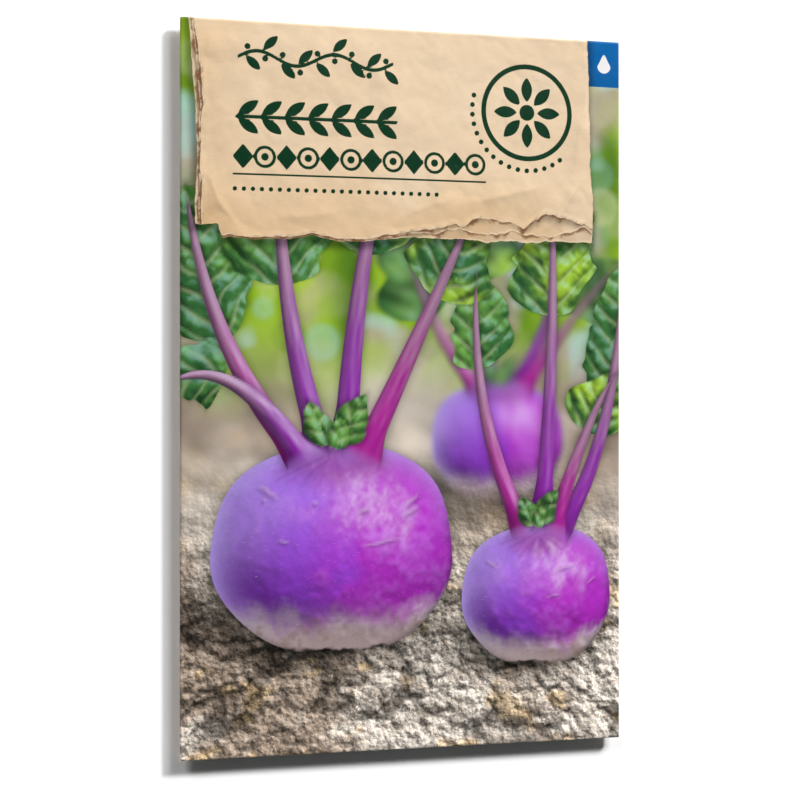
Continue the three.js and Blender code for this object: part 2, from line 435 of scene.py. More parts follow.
def layLeaf(layer, x, y, path, width, seed, bright):
    # a blade with a lobed and toothed edge round its midrib; side veins lean forward, and the
    # surface puffs up between them and crinkles
    window = windowOf(x, y, path, 1.6 * width)
    x, y = x[window], y[window]
    share, side, _, _ = alongPath(x, y, path)
    along = share * np.hypot(*(path[-1] - path[0]))
    margin = 5.0 * np.sign(side)
    lobe = latticeNoise(along, margin, 5.2, seed) - 0.5
    tooth = latticeNoise(along, margin, 1.6, seed + 1) - 0.5
    half = width * np.abs(np.sin(np.pi * share**0.68)) ** 0.62 * (1 + 0.62 * lobe + 0.20 * tooth)
    edge = np.maximum(half, 0.05) - np.abs(side)
    across = np.abs(side) / width
    drift = 2.6 * (layeredNoise(x, y, 6, seed + 5, 2) - 0.5)
    spacing = 0.26 * width + 2.2
    phase = (along - 0.70 * np.abs(side) - 0.035 * side**2 + drift) / spacing + 0.27 * np.sign(side)
    nearVein = np.abs(phase - np.round(phase)) * spacing
    net = crumbField(along + 20 + drift, side + 20 - drift, 1.7, seed + 3) / 1.7
    crinkle = layeredNoise(x, y, 5.5, seed + 9, 3)
    puff = np.abs(np.sin(np.pi * phase)) ** 0.8 * ease(across, 0.02, 0.30)
    height = 0.60 * puff + 0.30 * net + 4.2 * crinkle - 2.6 * across**2 - 0.4 * ease(np.abs(side), 1.2, 0.0)
    right, up = slopeOf(height, x, y)
    light = lightOn(-0.80 * right, -0.80 * up)
    tone = layeredNoise(x, y, 8, seed + 20, 3) + 0.30 * (light - 0.9)
    colour = mixed(leaf["dark"], bright, ease(tone, 0.25, 0.80))
    colour = colour * (light * (0.84 + 0.24 * net))[..., None]
    colour = mixed(colour, leaf["bloom"], 0.42 * ease(light, 1.02, 1.34))
    colour = mixed(colour, leaf["vein"], 0.34 * ease(nearVein, 0.85, 0.0) * ease(across, 0.95, 0.4))
    lay(layer, edge, colour, window)


# three turnips on the bed, the rear one out of focus; pale gives the latitude where the violet ends
skin = {
    "left": ink(158, 72, 222),
    "right": ink(180, 48, 196),
    "mottle": ink(194, 112, 226),
    "pale": ink(246, 232, 240),
    "crown": ink(126, 88, 118),
    "veil": ink(190, 168, 242),
    "gleam": ink(248, 230, 255),
    "bounce": ink(214, 184, 176),
    "dust": ink(132, 108, 88),
    "scar": ink(206, 176, 206),
}
bulbs = {
    "left": {
        "x": -15.0,
        "y": -31.0,
        "width": 24.0,
        "height": 20.5,
        "lean": 0.50,
        "pale": -0.18,
        "seed": 1,
        "scars": 8,
    },
    "right": {
        "x": 27.0,
        "y": -41.0,
        "width": 16.0,
        "height": 14.2,
        "lean": 0.55,
        "pale": -0.10,
        "seed": 2,
        "scars": 5,
    },
    "rear": {
        "x": 18.5,
        "y": -10.5,
        "width": 14.0,
        "height": 12.0,
        "lean": 0.45,
        "pale": -0.14,
        "seed": 3,
        "scars": 0,
    },
}
# each leaf of a bulb: where its tip is and where its stalk is drawn to, both from the crown, then
# the half width of the blade and the share of the way at which the blade starts
fans = {
    "rear": [
        (-20, 34, -16, 12, 8.0, 0.50),
        (-3, 44, -8, 20, 9.0, 0.50),
        (16, 42, 14, 14, 9.0, 0.45),
        (27, 26, 18, 18, 7.5, 0.50),
    ],
    "right": [
        (-13, 52, -15, 22, 6.8, 0.66),
        (3, 74, 4, 34, 8.5, 0.60),
        (19, 54, 17, 14, 7.5, 0.52),
        (17, 32, 10, 22, 6.0, 0.55),
    ],
    "left": [
        (-29, 52, -25, 18, 8.0, 0.52),
        (13, 72, 3, 34, 10.0, 0.56),
        (-11, 62, -12, 28, 9.5, 0.56),
        (29, 50, 18, 26, 8.0, 0.62),
        (-33, 14, -20, 22, 6.5, 0.58),
    ],
}
stalkThickness = {"rear": 1.3, "right": 1.6, "left": 2.1, "young": 0.75}
# the young leaves in the middle of a crown, as shares of the bulb's height: where the tip is, where
# the stalk is drawn to, and the half width
youngLeaves = [
    (0.30, 0.62, 0.10, 0.30, 0.15),
    (-0.26, 0.54, -0.12, 0.26, 0.14),
    (0.05, 0.40, 0.02, 0.20, 0.12),
]


def ballOf(x, y, bulb):
    # the face of a flattened ball with full shoulders, leaning towards the viewer: how far inside
    # its outline, the way that it faces, the height of its latitude and its longitude
    u, v = (x - bulb["x"]) / bulb["width"], (y - bulb["y"]) / bulb["height"]
    full = np.where(v > 0, 2.30, 2.12)
    reach = (np.abs(u) ** full + np.abs(v) ** full) ** (1 / full)
    angle = np.arctan2(v, u)
    reach = reach * (1 + 0.014 * np.sin(3 * angle + bulb["seed"]) + 0.008 * np.sin(7 * angle))
    edge = (1 - reach) * np.sqrt(bulb["width"] * bulb["height"])
    stretch = np.clip(reach, 0, 0.999) / np.maximum(np.hypot(u, v), 1e-4)
    right, up = u * stretch, v * stretch
    out = np.sqrt(1 - right**2 - up**2)
    high = up * np.cos(bulb["lean"]) + out * np.sin(bulb["lean"])
    front = out * np.cos(bulb["lean"]) - up * np.sin(bulb["lean"])
    return edge, right, up, out, high, np.arctan2(right, front)


def layBulb(layer, x, y, bulb):
    # violet skin that pales below in streaks, with rings round it, a bluish veil where it turns
    # away, a soft gleam, brown dust near the foot, and short scars along its latitudes
    edge, right, up, out, high, around = ballOf(x, y, bulb)
    seed = 90 + 10 * bulb["seed"]
    rings = layeredNoise(around * 2.0, high * 16, 1.0, seed, 3)
    mottle = layeredNoise(x, y, 6, seed + 5)
    fine = layeredNoise(x, y, 1.3, seed + 7, 3)
    dents = layeredNoise(around * 4, high * 3, 1.0, seed + 9, 2) - 0.5
    slopeX, slopeY = slopeOf(1.5 * mottle + 0.5 * fine + 1.2 * dents, x, y)
    light = lightOn(right - 0.5 * slopeX, up - 0.5 * slopeY, out + 0.02)
    light = light * (0.95 + 0.10 * rings) * (0.94 + 0.12 * fine) * (1 + 0.3 * ease(high, 0.0, -0.5))
    body = mixed(skin["left"], skin["right"], ease(right + 0.9 * (mottle - 0.5), -0.45, 0.45))
    body = mixed(body, skin["mottle"], 0.5 * ease(mottle + 0.3 * (fine - 0.5), 0.5, 0.8))
    streak = layeredNoise(around * 9, high * 2.2, 1.0, seed + 11, 3) - 0.5
    below = high + 0.16 * (rings - 0.5) + 0.30 * (mottle - 0.5) + 0.30 * streak
    body = mixed(body, skin["pale"], 0.88 * ease(below, bulb["pale"] + 0.06, bulb["pale"] - 0.34))
    crownTone = ease(high + 0.05 * (streak + fine - 0.5), 0.84, 0.97)
    colour = mixed(body, skin["crown"], 0.55 * crownTone) * light[..., None]
    veil = ease(out, 0.70, 0.05) * ease(up - 0.5 * right, -0.7, 0.5)
    colour = mixed(colour, skin["veil"], 0.55 * veil)
    sky = ease(up - 0.5 * right, -0.15, 0.95) * (0.40 + 0.60 * ease(-right, -0.5, 0.5))
    colour = mixed(colour, skin["veil"], 0.64 * sky * (0.7 + 0.6 * (mottle - 0.5)) * (1 - crownTone))
    facing = np.clip(0.30 * right + 0.42 * up + 0.855 * out - 0.10 * slopeX, 0, 1)
    shoulder = np.exp(-(((right - 0.60) / 0.06) ** 2) - (((up - 0.22) / 0.20) ** 2))
    gleam = (0.34 * facing**22 + 0.26 * shoulder) * np.clip(0.1 + 1.6 * fine, 0, 1.3)
    colour = mixed(colour, skin["gleam"], gleam)
    colour = mixed(colour, skin["bounce"], 0.40 * ease(-up, 0.40, 0.95) * ease(below, 0.2, -0.3))
    dust = ease(fine + 0.5 * (mottle - 0.5), 0.60, 0.72) * ease(high, 0.05, -0.45)
    colour = mixed(colour, skin["dust"], 0.45 * dust)
    for number in range(bulb["scars"]):
        bearing = 2.4 * number + bulb["seed"]
        scarAt = 0.68 + 0.17 * math.cos(1.7 * bearing) + 0.03 * (streak - 0.5)
        reach = 0.16 + 0.12 * math.sin(3.1 * bearing)
        inScar = np.clip(1 - ((around - 1.1 * math.sin(bearing)) / reach) ** 2, 0, 1)
        colour = colour * (1 - 0.34 * inScar * ease(np.abs(high - scarAt + 0.022), 0.026, 0.0))[..., None]
        colour = mixed(colour, skin["scar"], 0.5 * inScar * ease(np.abs(high - scarAt), 0.018, 0.0))
    turnedAway = ease(edge, 1.4, 0.0) * ease(0.6 * right - up, -0.2, 0.8)
    lay(layer, edge, colour * (1 - 0.40 * turnedAway)[..., None])


def shadeBelow(colour, x, y, bulb, strength):
    # the dark of a round thing on the bed, deepest close under it
    u = (x - bulb["x"] + 0.20 * bulb["width"]) / (bulb["width"] * 1.30)
    v = (y - bulb["y"] + 0.62 * bulb["height"]) / (bulb["height"] * 0.66)
    return colour * (1 - strength * ease(np.hypot(u, v), 1.15, 0.45))[..., None]


def buryFoot(edge, x, y, bulb):
    # loose earth lies against the foot of a bulb, in an uneven and soft line
    lump = layeredNoise(x, y, 2.2, 110, 3) - 0.5
    earth = bulb["y"] - 0.93 * bulb["height"] + 2.4 * lump + 0.06 * (x - bulb["x"]) ** 2 / bulb["width"]
    return np.minimum(edge, 0.35 * (y - earth))


def layTop(layers, x, y, name):
    # leaves on stalks from the bulb's crown, which the leaning ball shows near its upper edge
    bulb = bulbs[name]
    crown = np.array([bulb["x"], bulb["y"] + 0.86 * bulb["height"]])
    for number, (tipX, tipY, pullX, pullY, width, start) in enumerate(fans[name]):
        foot = crown + np.array([0.16 * tipX, -0.05 * abs(tipX)])
        whole = bend(foot, crown + np.array([pullX, pullY]), crown + np.array([tipX, tipY]))
        seed = 60 + 200 * bulb["seed"] + 31 * number
        bright = leaf["fresh" if number % 2 else "middle"]
        layLeaf(layers["leaves"], x, y, whole[int(start * len(whole)) :], width, seed, bright)
        tone = stalk["foot" if number % 3 else "rosyFoot"]
        layStalk(layers["stalks"], x, y, whole, stalkThickness[name], tone, layers["bulbs"]["colour"])


def layYoungLeaves(layer, x, y, bulb, skinColour):
    # short leaves on short stalks, which stand in front of the others
    crown = np.array([bulb["x"], bulb["y"] + 0.84 * bulb["height"]])
    for number, shares in enumerate(youngLeaves):
        tipX, tipY, pullX, pullY, width = bulb["height"] * np.array(shares)
        whole = bend(crown, crown + np.array([pullX, pullY]), crown + np.array([tipX, tipY]), 30)
        layStalk(layer, x, y, whole, stalkThickness["young"], stalk["foot"], skinColour)
        layLeaf(layer, x, y, whole[8:], width, 900 + 50 * bulb["seed"] + 7 * number, leaf["middle"])


def paintTurnips(x, y, names):
    # leaves, then bulbs, then stalks, each on a layer of its own, with the shade of each layer on
    # the ones below it
    layers = {kind: newLayer(x) for kind in ("leaves", "bulbs", "stalks")}
    for name in names:
        ball = newLayer(x)
        layBulb(ball, x, y, bulbs[name])
        lay(layers["bulbs"], buryFoot(ball["edge"], x, y, bulbs[name]), ball["colour"])
        layTop(layers, x, y, name)
        layYoungLeaves(layers["stalks"], x, y, bulbs[name], layers["bulbs"]["colour"])
    layers["bulbs"]["colour"] *= (1 - 0.45 * layers["stalks"]["shade"])[..., None]
    cover = np.maximum(layers["bulbs"]["shade"], layers["stalks"]["shade"])
    layers["leaves"]["colour"] *= (1 - 0.45 * cover)[..., None]
    return layers


def rearPicture(x, y, near):
    # the bed with the rear turnip, which is out of focus, and the shade of what lies in front
    colour = shadeBelow(gardenBed(x, y), x, y, bulbs["rear"], 0.7)
    for layer in paintTurnips(x, y, ["rear"]).values():
        inside = ease(softened(layer["edge"], x, 0.8), -1, 1)
        colour = mixed(colour, softened(layer["colour"], x, 0.8), inside)
    for name in ("right", "left"):
        colour = shadeBelow(colour, x, y, bulbs[name], 0.82)
    for layer in near.values():
        colour = colour * (1 - 0.40 * layer["shade"])[..., None]
    return colour


# The torn kraft label over the picture, its ornaments and the blue tab

label = {
    "left": -42.5,
    "right": 38.1,
    "bottom": 29.0,
    "kraft": ink(240, 213, 179),
    "kraftDeep": ink(230, 192, 146),
    "kraftPale": ink(244, 222, 192),
    # the dark brown of the painted shadow below a raised ply's edge
    "plyShadow": ink(120, 78, 44),
    "tearPale": ink(246, 222, 188),
    "speck": ink(176, 128, 84),
    # creases of handled paper: a point on each, its direction in degrees, its half length and depth
    "creases": [
        (33.0, 37.0, 52, 9, 0.95),
        (36.0, 50.0, 80, 10, 0.55),
        (20.0, 38.5, 14, 12, 0.60),
        (-37.5, 36.0, -58, 8, 0.85),
        (-40.0, 62.0, 74, 9, 0.55),
        (-20.0, 33.5, 8, 9, 0.40),
        (4.0, 35.5, 20, 8, 0.45),
    ],
}


def tornLine(t, size, seed):
    # an angular line between -0.5 and 0.5: straight runs of uneven length, with finer ones on them
    total = 0
    for octave in range(5):
        draw = np.random.default_rng(seed + octave)
        knots = np.cumsum(draw.uniform(0.3, 1.7, 400)) * size / 2**octave - 60
        total = total + (np.interp(t, knots, draw.random(400)) - 0.5) / 2**octave
    return total / 1.6


def labelEdges(x, y):
    # how far inside the torn outline a place is, for the whole label, a middle ply and the upper
    # ply; each one ends a little short of the one below it, most at the lower right
    left = label["left"] + 1.5 * tornLine(y, 13, 201) + 0.03 * (58 - y)
    right = label["right"] + 0.9 * tornLine(y, 9, 211) + 0.8 * ease(y, 46, 38)
    bottom = label["bottom"] + 2.6 * tornLine(x, 9, 221)
    corner = 2.6 * ease(x + 1.5 * tornLine(y, 3, 261), label["left"] + 5.4, label["left"] + 4.6)
    corner = corner * (1 + 0.3 * tornLine(x, 3, 271))
    whole = np.minimum(np.minimum(x - left, right - x), y - bottom - corner)
    wide = ease(x, -4, 14)
    peel = (0.5 + 2.4 * wide) * (0.6 + 1.1 * tornLine(x, 6, 231))
    side = 1.3 + 2.4 * tornLine(y, 11, 241)
    middle = np.minimum(np.minimum(x - left - 0.6 * side, right - x + 0.3), y - bottom - peel)
    peel = (0.9 + 6.0 * wide) * (0.52 + 1.0 * tornLine(x, 9, 281)) + 3.0 * np.maximum(tornLine(x, 12, 251), 0)
    upper = np.minimum(np.minimum(x - left - side, right - x + 0.3), y - bottom - peel)
    return whole, middle, upper


def labelColour(x, y):
    # kraft paper that is deeper along its left and lower sides, mottled, with painted shading of crumples and
    # creases
    deep = ease(y, 46, 30) * 0.75 + ease(x, -30, -44) * 0.45
    patch = layeredNoise(x, y, 15, 231)
    colour = mixed(label["kraft"], label["kraftDeep"], np.clip(deep + 0.55 * (patch - 0.5), 0, 1))
    colour = mixed(colour, label["kraftPale"], 0.6 * ease(layeredNoise(x, y, 20, 241, 3), 0.5, 0.75))
    height = 1.1 * np.abs(layeredNoise(x + 0.5 * y, y, 13, 251, 3) - 0.5)
    height = height + 0.7 * np.abs(layeredNoise(x, y, 6, 261, 3) - 0.5)
    for atX, atY, angle, half, depth in label["creases"]:
        dirX, dirY = math.cos(math.radians(angle)), math.sin(math.radians(angle))
        along = ((x - atX) * dirX + (y - atY) * dirY) / half
        off = (y - atY) * dirX - (x - atX) * dirY + 1.2 * (layeredNoise(x, y, 5, 291, 3) - 0.5)
        height = height + depth * ease(np.abs(along), 1, 0.2) * np.exp(-np.abs(off) / 1.8)
    # painted shading: the crumples and creases as lit from the upper right
    right, up = slopeOf(height, x, y)
    light = np.clip(lightOn(-right, -up) / lightOn(0.0, 0.0), 0.5, 1.25)
    upper = labelEdges(x, y)[2]
    lifted = ease(layeredNoise(x, y, 7, 321, 2), 0.35, 0.65)
    # a painted highlight along the curled rim of the upper ply, and a painted shadow that the ply throws
    # below its torn edge
    curlHighlight = 0.10 * ease(np.abs(upper - 0.7), 0.7, 0.0) * lifted
    below = 0.55 * ease(upper, -2.2, -0.1) * (upper < 0.2) * (0.3 + 0.7 * lifted)
    return colour * ((0.10 + 0.90 * light) * (1 + curlHighlight - below))[..., None]


def lens(x, y, centreX, centreY, angle, half, width):
    # a leaf shape, pointed at both ends: distance inside its outline
    u = (x - centreX) * np.cos(angle) + (y - centreY) * np.sin(angle)
    v = (y - centreY) * np.cos(angle) - (x - centreX) * np.sin(angle)
    inside = width * (1 - (u / half) ** 2) - np.abs(v)
    return np.where(np.abs(u) < half, inside, -np.hypot(np.abs(u) - half, v))


def dot(x, y, centreX, centreY, radius):
    return radius - np.hypot(x - centreX, y - centreY)


def ring(x, y, centreX, centreY, radius, stroke):
    return stroke / 2 - np.abs(np.hypot(x - centreX, y - centreY) - radius)


def petalsRound(x, y, centreX, centreY, count, away, half, width):
    # leaf shapes that point outwards, evenly round a centre
    petals = []
    for number in range(count):
        angle = 2 * math.pi * number / count
        atX, atY = centreX + away * math.cos(angle), centreY + away * math.sin(angle)
        petals.append(lens(x, y, atX, atY, angle, half, width))
    return petals


ornaments = {
    "vine": {"left": -34.0, "right": -3.0, "y": 63.4, "leaves": 9, "half": 0.36, "swing": 1.3, "turns": 0.41},
    "laurel": {"left": -34.5, "y": 52.0, "count": 7, "pitch": 4.6, "half": 0.34},
    "border": {"left": -33.0, "y": 44.4, "count": 12, "pitch": 4.25, "diamond": 1.75},
    "beads": {"left": -34.6, "y": 38.2, "count": 24, "pitch": 1.75, "radius": 0.46},
    "rosette": {"x": 24.8, "y": 55.2, "radius": 9.2, "stroke": 1.0, "eye": 1.6, "petals": 8, "petalAt": 4.6},
    # the beads round the rosette: how far out, and the first one's angle and the step in degrees
    "halo": {"count": 16, "radius": 11.6, "first": 165, "step": 9.5, "bead": 0.52},
    "rule": {"left": -35.0, "right": 16.0, "y": 41.0, "stroke": 0.36, "soft": 0.05},
}


def ornamentEdge(x, y):
    # how far inside the green ink a place is, over all the ornaments of the label
    shapes = [np.full(x.shape, nowhere)]

    vine = ornaments["vine"]
    wave = vine["y"] + vine["swing"] * np.sin((x - vine["left"]) * vine["turns"])
    ends = np.minimum(x - vine["left"], vine["right"] - x)
    shapes.append(np.minimum(vine["half"] - np.abs(y - wave), ends))
    for number in range(vine["leaves"]):
        share = (number + 0.5) / vine["leaves"]
        atX = vine["left"] + share * (vine["right"] - vine["left"])
        atY = vine["y"] + vine["swing"] * math.sin((atX - vine["left"]) * vine["turns"])
        side = 1 if number % 2 else -1
        shapes.append(lens(x, y, atX + 1.3, atY + side * 1.9, side * 0.75, 2.0, 0.85))
        shapes.append(dot(x, y, atX + 0.2, atY - side * 1.25, 0.60))

    laurel = ornaments["laurel"]
    stemEnd = laurel["left"] + laurel["count"] * laurel["pitch"]
    ends = np.minimum(x - laurel["left"], stemEnd - x)
    shapes.append(np.minimum(laurel["half"] - np.abs(y - laurel["y"]), ends))
    for number in range(laurel["count"]):
        atX = laurel["left"] + (number + 0.55) * laurel["pitch"]
        for side in (-1, 1):
            shapes.append(lens(x, y, atX, laurel["y"] + side * 1.75, side * 0.62, 2.5, 1.0))

    border = ornaments["border"]
    for number in range(border["count"]):
        atX = border["left"] + number * border["pitch"]
        if number % 2:
            shapes.append(dot(x, y, atX, border["y"], 0.75))
            shapes.append(ring(x, y, atX, border["y"], 1.85, 0.62))
        else:
            shapes.append(border["diamond"] - (np.abs(x - atX) * 0.85 + np.abs(y - border["y"]) * 0.72))

    beads = ornaments["beads"]
    for number in range(beads["count"]):
        shapes.append(dot(x, y, beads["left"] + number * beads["pitch"], beads["y"], beads["radius"]))

    rosette = ornaments["rosette"]
    atX, atY = rosette["x"], rosette["y"]
    shapes.append(ring(x, y, atX, atY, rosette["radius"], rosette["stroke"]))
    shapes.append(dot(x, y, atX, atY, rosette["eye"]))
    shapes += petalsRound(x, y, atX, atY, rosette["petals"], rosette["petalAt"], 2.5, 1.15)
    halo = ornaments["halo"]
    for number in range(halo["count"]):
        angle = math.radians(halo["first"] + halo["step"] * number)
        beadX, beadY = atX + halo["radius"] * math.cos(angle), atY + halo["radius"] * math.sin(angle)
        shapes.append(dot(x, y, beadX, beadY, halo["bead"]))
    return np.maximum.reduce(shapes)


tab = {"left": 37.0, "bottom": 61.15, "markX": 41.6, "markY": 65.4}


def tabEdge(x, y):
    return np.minimum(x - tab["left"], y - tab["bottom"])


def tabMark(x, y):
    # a plain white drop: a round foot that narrows to a point above
    u, v = x - tab["markX"], y - tab["markY"]
    narrow = np.where(v > 0, 1 + 0.55 * v, 1)
    return 1.45 - np.hypot(u * narrow, v * np.where(v > 0, 0.62, 1))


# Nodes for the materials


def put(tree, kind, inputs=None, **settings):
    # a new node with its settings and its inputs, which are values or other nodes' outputs
    node = tree.nodes.new(kind)
    for key, value in settings.items():
        setattr(node, key, value)
    for key, value in (inputs or {}).items():
        if isinstance(value, bpy.types.NodeSocket):
            tree.links.new(value, node.inputs[key])
        else:
            node.inputs[key].default_value = value
    return node


def calc(tree, operation, first, second=0.0, third=0.0, clamp=False):
    inputs = {0: first, 1: second, 2: third}
    return put(tree, "ShaderNodeMath", inputs, operation=operation, use_clamp=clamp).outputs[0]


def blend(tree, share, first, second, mode="MIX"):
    inputs = {0: share, 6: first, 7: second}
    return put(tree, "ShaderNodeMix", inputs, data_type="RGBA", blend_type=mode).outputs[2]


def ramp(tree, value, low, high):
    # the same smooth S as ease gives
    inputs = {"Value": value, "From Min": low, "From Max": high}
    return put(tree, "ShaderNodeMapRange", inputs, interpolation_type="SMOOTHSTEP").outputs["Result"]


def millimetres(tree):
    # Object coordinates in millimetres
    place = put(tree, "ShaderNodeTexCoord").outputs["Object"]
    return stretched(tree, place, (1000, 1000, 1000))


def tinted(tree, colour, tone):
    # the colour times one number in all its channels
    tint = put(tree, "ShaderNodeCombineColor", {0: tone, 1: tone, 2: tone}).outputs[0]
    return blend(tree, 1.0, colour, tint, "MULTIPLY")


def noise(tree, place, scale, detail=2.0, roughness=0.5):
    inputs = {"Vector": place, "Scale": scale, "Detail": detail, "Roughness": roughness}
    return put(tree, "ShaderNodeTexNoise", inputs).outputs["Fac"]


def stretched(tree, place, scale):
    return put(tree, "ShaderNodeVectorMath", {0: place, 1: scale}, operation="MULTIPLY").outputs[0]


def attribute(tree, name):
    return put(tree, "ShaderNodeAttribute", attribute_name=name)


def valueOf(tree, name):
    return attribute(tree, name).outputs["Fac"]


def sizedPlace(tree, given):
    # the place in millimetres times a group's own Size
    inputs = {0: millimetres(tree), 3: given.outputs["Size"]}
    return put(tree, "ShaderNodeVectorMath", inputs, operation="SCALE").outputs[0]


def colourOf(values):
    return (*[float(value) for value in values], 1.0)


def newGroup(name, takes, gives):
    # an empty node group with its named inputs and outputs
    group = bpy.data.node_groups.new(name, "ShaderNodeTree")
    for title, kind, value in takes:
        socket = group.interface.new_socket(title, in_out="INPUT", socket_type=kind)
        socket.default_value = value
    for title, kind in gives:
        group.interface.new_socket(title, in_out="OUTPUT", socket_type=kind)
    return group, put(group, "NodeGroupInput"), put(group, "NodeGroupOutput")


def placed(tree, group, **inputs):
    return put(tree, "ShaderNodeGroup", inputs, node_tree=group)


def makeCrispEdge():
    # the distance inside a printed shape becomes a mask, whose outline the press roughens a little
    number = "NodeSocketFloat"
    takes = [("Distance", number, 0.0), ("Softness", number, 0.08), ("Rough", number, 0.1)]
    takes += [("Size", number, 1.2)]
    group, given, result = newGroup("crispEdge", takes, [("Mask", number)])
    wander = calc(group, "SUBTRACT", noise(group, millimetres(group), given.outputs["Size"], 3), 0.5)
    distance = calc(group, "MULTIPLY_ADD", wander, given.outputs["Rough"], given.outputs["Distance"])
    low = calc(group, "MULTIPLY", given.outputs["Softness"], -1.0)
    group.links.new(ramp(group, distance, low, given.outputs["Softness"]), result.inputs["Mask"])
    return group


def makePaperGrain():
    # fibres of coated paper: a fine height for the bump, and flecks for gloss and colour
    number = "NodeSocketFloat"
    gives = [("Height", number), ("Fleck", number)]
    group, given, result = newGroup("paperGrain", [("Size", number, 1.0)], gives)
    place = sizedPlace(group, given)
    fibres = noise(group, stretched(group, place, (1.0, 2.6, 1.0)), 2.2, 4, 0.65)
    tooth = noise(group, place, 7.0, 2, 0.6)
    height = calc(group, "MULTIPLY_ADD", tooth, 0.5, fibres)
    group.links.new(height, result.inputs["Height"])
    group.links.new(ramp(group, noise(group, place, 0.35, 4, 0.6), 0.3, 0.7), result.inputs["Fleck"])
    return group


def makeSoilGrit():
    # crumbs of soil: the fall of a heap of round cells towards the light, as a factor near 1
    number = "NodeSocketFloat"
    group, given, result = newGroup("soilGrit", [("Size", number, 1.0)], [("Light", number)])
    place = sizedPlace(group, given)
    bent = put(group, "ShaderNodeTexNoise", {"Vector": place, "Scale": 0.9, "Detail": 3.0}).outputs["Color"]
    wandered = {0: bent, 1: (1.2, 1.2, 0), 2: place}
    place = put(group, "ShaderNodeVectorMath", wandered, operation="MULTIPLY_ADD").outputs[0]
    total = 0.86
    for scale, strength in ((0.55, 0.55), (1.3, 0.50), (2.9, 0.35)):
        heights = []
        for away in (0.0, 0.28 / scale):
            moved = {0: place, 1: (away * 0.64, away * 0.77, 0)}
            moved = put(group, "ShaderNodeVectorMath", moved, operation="ADD").outputs[0]
            cells = {"feature": "SMOOTH_F1", "voronoi_dimensions": "2D"}
            cell = put(group, "ShaderNodeTexVoronoi", {"Vector": moved, "Scale": scale}, **cells)
            heights.append(cell.outputs["Distance"])
        fall = calc(group, "SUBTRACT", heights[1], heights[0])
        total = calc(group, "MULTIPLY_ADD", fall, strength * 3.0, total)
        total = calc(group, "MULTIPLY_ADD", heights[0], -0.30 * strength, total)
    total = calc(group, "ADD", total, 0.12)
    group.links.new(calc(group, "MAXIMUM", total, 0.25), result.inputs["Light"])
    return group


def makeKraftFibre():
    # fibres that run up the sheet and dark specks, on any kraft colour
    takes = [("Color", "NodeSocketColor", (1, 1, 1, 1)), ("Specks", "NodeSocketFloat", 0.22)]
    group, given, result = newGroup("kraftFibre", takes, [("Color", "NodeSocketColor")])
    place = millimetres(group)
    fibres = noise(group, stretched(group, place, (0.5, 2.0, 1.0)), 1.6, 5, 0.7)
    tone = calc(group, "MULTIPLY_ADD", fibres, 0.16, 0.92)
    colour = tinted(group, given.outputs["Color"], tone)
    specks = ramp(group, noise(group, place, 2.6, 2, 0.5), 0.66, 0.74)
    specks = calc(group, "MULTIPLY", specks, given.outputs["Specks"])
    group.links.new(blend(group, specks, colour, colourOf(label["speck"])), result.inputs["Color"])
    return group


def makeFoldWear():
    # how far the print is rubbed off along the packet's folds, most at its corners
    number = "NodeSocketFloat"
    group, given, result = newGroup("foldWear", [("Reach", number, 0.4)], [("Wear", number)])
    place = millimetres(group)
    axes = put(group, "ShaderNodeSeparateXYZ", {0: place}).outputs
    fromSide = calc(group, "SUBTRACT", halfWidth, calc(group, "ABSOLUTE", axes[0]))
    fromEnd = calc(group, "SUBTRACT", halfHeight, calc(group, "ABSOLUTE", axes[1]))
    nearest = calc(group, "SMOOTH_MIN", fromSide, fromEnd, 1.0)
    corner = ramp(group, calc(group, "ADD", fromSide, fromEnd), 5.0, 0.0)
    rub = calc(group, "MULTIPLY", noise(group, place, 0.9, 5, 0.7), given.outputs["Reach"])
    rub = calc(group, "MULTIPLY_ADD", corner, given.outputs["Reach"], rub)
    fine = calc(group, "MULTIPLY", noise(group, place, 6.0, 2), 0.25)
    margin = calc(group, "SUBTRACT", calc(group, "SUBTRACT", rub, fine), nearest)
    group.links.new(ramp(group, margin, -0.05, 0.15), result.inputs["Wear"])
    return group


def maskOf(tree, distance, softness, rough=0.0, size=1.2):
    # where a printed shape covers the paper, from the distance inside it
    node = placed(tree, crispEdge, Distance=distance, Softness=softness, Rough=rough, Size=size)
    return node.outputs["Mask"]


crispEdge = makeCrispEdge()
paperGrain = makePaperGrain()
foldWear = makeFoldWear()
kraftFibre = makeKraftFibre()
soilGrit = makeSoilGrit()

paper = {
    "core": ink(250, 248, 242),  # unprinted paper, inside and on cut edges
    "roughness": 0.30,
    "labelRoughness": 0.36,
    "gloss": 0.16,
    "bump": 0.25,
    "bumpHeight": 0.00004,
    "green": ink(0, 54, 28),
    "greenThin": ink(70, 112, 84),
    "blue": ink(0, 98, 165),
    "blueLight": ink(4, 106, 178),
    "white": ink(252, 252, 252),
}


def newMaterial(name):
    material = bpy.data.materials.new(name)
    material.use_nodes = True
    tree = material.node_tree
    tree.nodes.clear()
    shader = put(tree, "ShaderNodeBsdfPrincipled")
    surface = put(tree, "ShaderNodeOutputMaterial")
    tree.links.new(shader.outputs["BSDF"], surface.inputs["Surface"])
    return material, tree, shader


